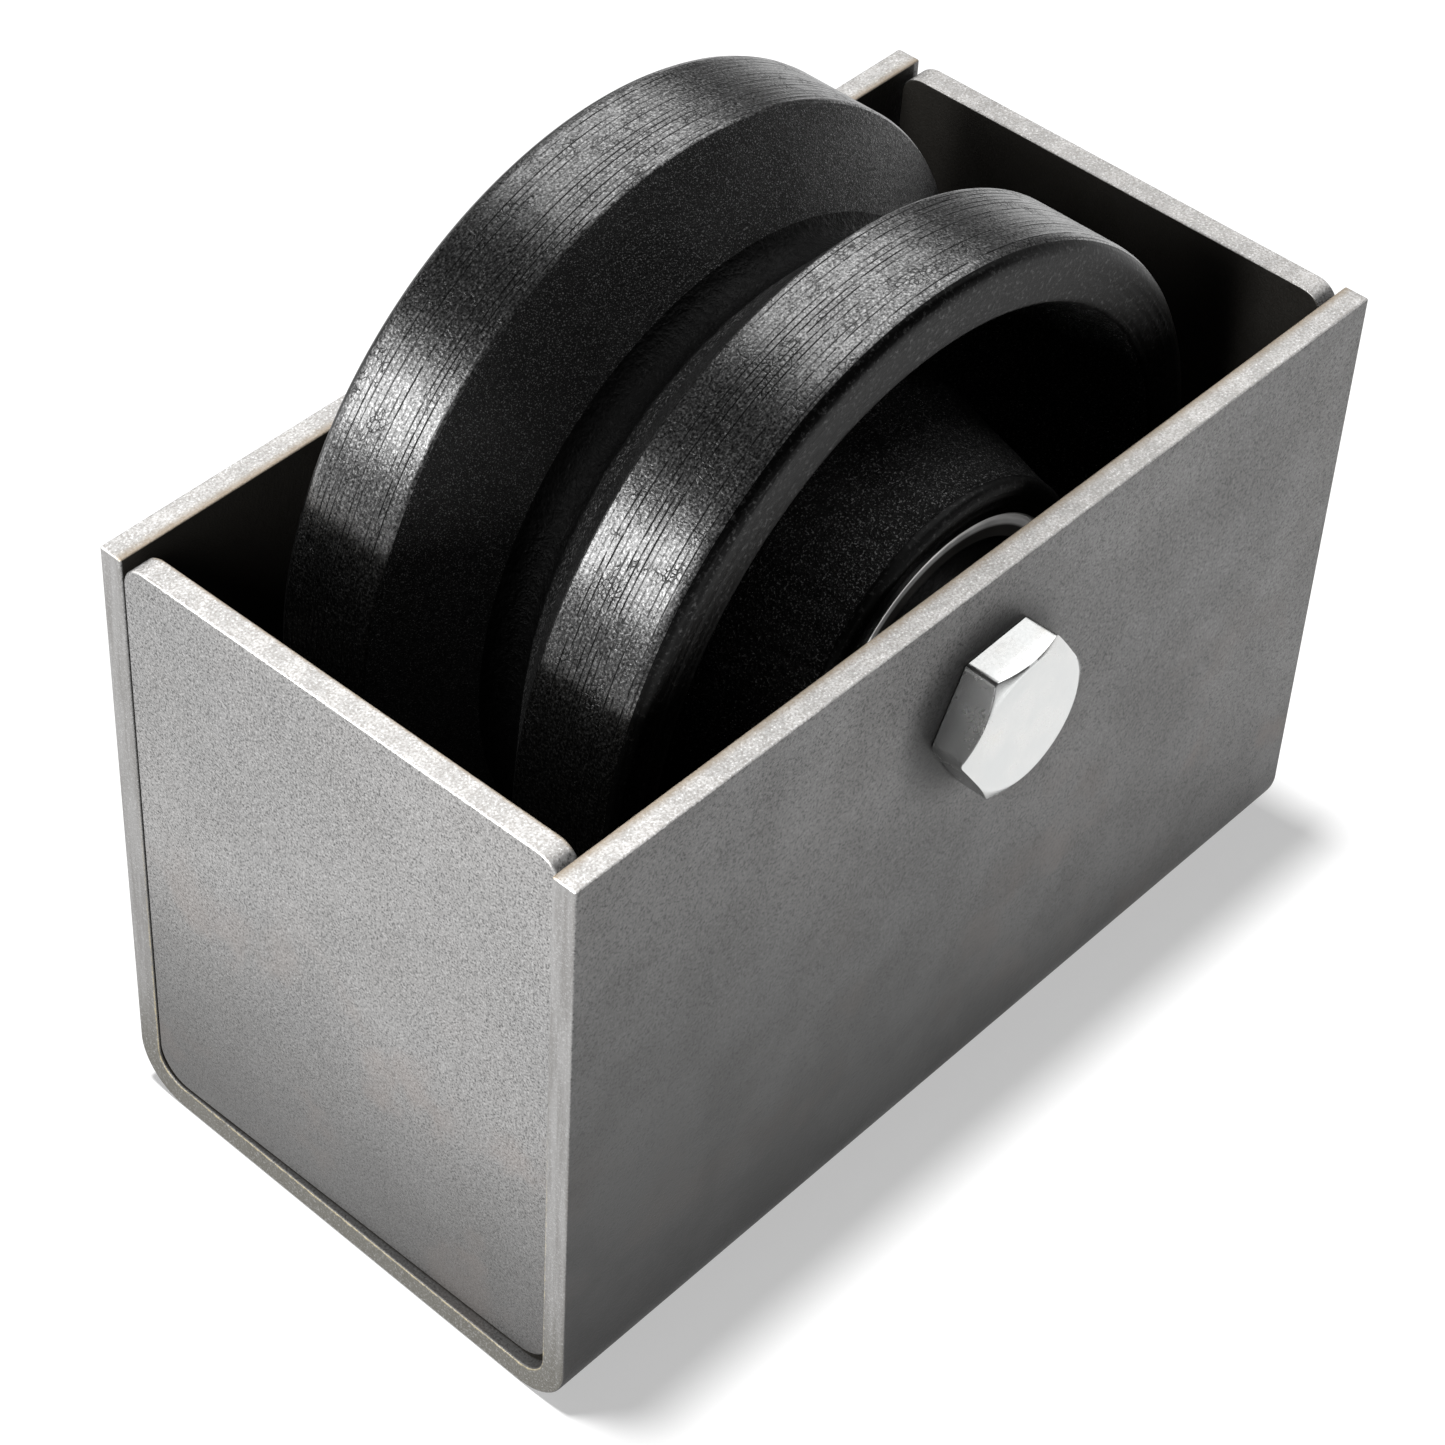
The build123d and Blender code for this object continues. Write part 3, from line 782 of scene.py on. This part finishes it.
finishes = {"channel_body": CHANNEL_STEEL,
            "end_plate_left": END_PLATE_STEEL, "end_plate_right": END_PLATE_STEEL,
            "flat_washer": ZINC, "lock_nut": ZINC, "nut_insert": NYLON, "axle_sleeve": TUBE,
            "centre_spacer": TUBE}
for side in ("near", "far"):
    finishes[f"side_spacer_{side}"] = TUBE
    finishes[f"bearing_outer_ring_{side}"] = OUTER_RING
    finishes[f"bearing_inner_ring_{side}"] = BEARING
    finishes[f"bearing_balls_{side}"] = BEARING
    finishes[f"bearing_cage_{side}"] = CAGE
    finishes[f"bearing_seal_outboard_{side}"] = RUBBER
    finishes[f"bearing_seal_inboard_{side}"] = RUBBER
for node, finish in finishes.items():
    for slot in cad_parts[node].material_slots:
        slot.material = finish

# ------------------------------------------------------------------ floor, lights and camera
FLOOR_HALF = 4.0
floor_mesh = bpy.data.meshes.new("floor")
floor_mesh.from_pydata([(-FLOOR_HALF, -FLOOR_HALF, 0), (FLOOR_HALF, -FLOOR_HALF, 0),
                        (FLOOR_HALF, FLOOR_HALF, 0), (-FLOOR_HALF, FLOOR_HALF, 0)], [], [(0, 1, 2, 3)])
floor = bpy.data.objects.new("floor", floor_mesh)
bpy.context.scene.collection.objects.link(floor)
paper = Shader("floor_paper", Roughness=0.9, Specular_IOR_Level=0.0, Emission_Strength=0.47,
               Emission_Color=(1, 1, 1, 1))
floor_mesh.materials.append(paper.finish(paper.mix(paper.noise(40, 2, 0.5), grey(0.60), grey(0.62))))


def linked(name, objects, state):
    """A light-linking collection of objects, all with one state: INCLUDE or EXCLUDE."""
    made = bpy.data.collections.new(name)
    for index, thing in enumerate(objects):
        made.objects.link(thing)
        made.collection_objects[index].light_linking.link_state = state
    return made


BOX_NODES = [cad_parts[n] for n in ("channel_body", "end_plate_left", "end_plate_right")]
FLOOR_ONLY = linked("floor_only", [floor], "INCLUDE")
ALL_BUT_FLOOR = linked("all_but_floor", [floor], "EXCLUDE")
WHEEL_AND_BOX = linked("wheel_and_box", [floor, bolt], "EXCLUDE")
BOX_ONLY = linked("box_only", BOX_NODES, "INCLUDE")
BOLT_ONLY = linked("bolt_only", [bolt], "INCLUDE")
ALL_BUT_BOLT = linked("all_but_bolt", [bolt], "EXCLUDE")


def softbox(name, direction, distance, size, radiance, target, reaches=ALL_BUT_FLOOR, past=()):
    """A rectangular light aimed at target; a mirror would show radiance, and nothing in past shades it."""
    light = bpy.data.lights.new(name, "AREA")
    light.shape = "RECTANGLE"
    light.size, light.size_y = size
    light.energy = radiance * math.pi * size[0] * size[1]
    lamp = bpy.data.objects.new(name, light)
    way = Vector(direction).normalized()
    across = Vector((0, 1, 0)).cross(way).normalized()
    up = way.cross(across)
    place = Vector(target) + way * distance
    lamp.matrix_world = Matrix((
        (across[0], up[0], way[0], place[0]),
        (across[1], up[1], way[1], place[1]),
        (across[2], up[2], way[2], place[2]),
        (0, 0, 0, 1)))
    lamp.light_linking.receiver_collection = reaches
    if past:
        lamp.light_linking.blocker_collection = linked(name + "_past", past, "EXCLUDE")
    bpy.context.scene.collection.objects.link(lamp)


middle = (0, 0, AXLE_Z)
head_place = (0, channel_low.y, AXLE_Z)
plate_top = (channel_low.x, 0, channel_high.z)
RINGS_ONLY = linked("rings_only", [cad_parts["bearing_outer_ring_near"]], "INCLUDE")
softbox("softbox_top", (0.45, 0.2, 0.85), 0.75, (0.66, 1.0), 1.6, middle)
softbox("softbox_left", (-0.72, 0.53, 0.44), 0.65, (0.2, 0.42), 5.6, middle, WHEEL_AND_BOX, BOX_NODES)
softbox("softbox_side", (-0.95, -0.03, 0.5), 0.36, (0.26, 0.26), 24.0, plate_top, BOX_ONLY)
softbox("softbox_edges", (0.61, 0.41, 0.68), 0.6, (0.35, 0.35), 1.3, (0.03, 0, channel_high.z), BOX_ONLY,
        [casting])
softbox("softbox_head", (0.55, 0.41, 0.73), 0.5, (0.22, 0.22), 2.9, head_place, BOLT_ONLY,
        [casting] + BOX_NODES)
softbox("softbox_chamfer", (0.40, -0.91, 0.03), 0.5, (0.15, 0.6), 0.5, head_place, BOLT_ONLY)
softbox("softbox_ring", (-0.32, -0.89, 0.26), 0.5, (0.2, 0.2), 18.0, head_place, RINGS_ONLY,
        [casting] + BOX_NODES)
softbox("softbox_right", (0.75, -0.6, 0.3), 0.5, (0.3, 0.3), 1.0, (channel_high.x, 0, 0), BOX_ONLY)

# the sun lights the floor alone, and the bolt casts no shadow in it
sun = bpy.data.lights.new("overhead", "SUN")
sun.energy = 3.3
sun.angle = math.radians(6.5)
overhead = bpy.data.objects.new("overhead", sun)
overhead.rotation_mode = "QUATERNION"
overhead.rotation_quaternion = Vector((-0.056, 0.112, 1)).normalized().to_track_quat("Z", "Y")
overhead.light_linking.receiver_collection = FLOOR_ONLY
overhead.light_linking.blocker_collection = ALL_BUT_BOLT
bpy.context.scene.collection.objects.link(overhead)

world = bpy.data.worlds.new("studio")
world.use_nodes = True
background = world.node_tree.nodes["Background"]
background.inputs["Color"].default_value = (1, 1, 1, 1)
background.inputs["Strength"].default_value = 0.07
bpy.context.scene.world = world

CAMERA_PLACE = Vector((-0.27967, -0.22946, 0.38796))
# a rotation vector, in radians, from the part's axes to the camera's right, down and forward
TURN_AXIS = Vector((2.1878, -0.9480, 0.4587))
camera_data = bpy.data.cameras.new("camera")
camera_data.lens = 100.46
camera_data.sensor_width = 36.0
camera_data.clip_start = 0.01
camera = bpy.data.objects.new("camera", camera_data)
to_camera = Matrix.Rotation(TURN_AXIS.length, 3, TURN_AXIS.normalized())
right, down, forward = to_camera[0], to_camera[1], to_camera[2]
camera.matrix_world = Matrix((
    (right[0], -down[0], -forward[0], CAMERA_PLACE[0]),
    (right[1], -down[1], -forward[1], CAMERA_PLACE[1]),
    (right[2], -down[2], -forward[2], CAMERA_PLACE[2]),
    (0, 0, 0, 1)))
bpy.context.scene.collection.objects.link(camera)
bpy.context.scene.camera = camera
bpy.context.scene.view_settings.view_transform = "Standard"
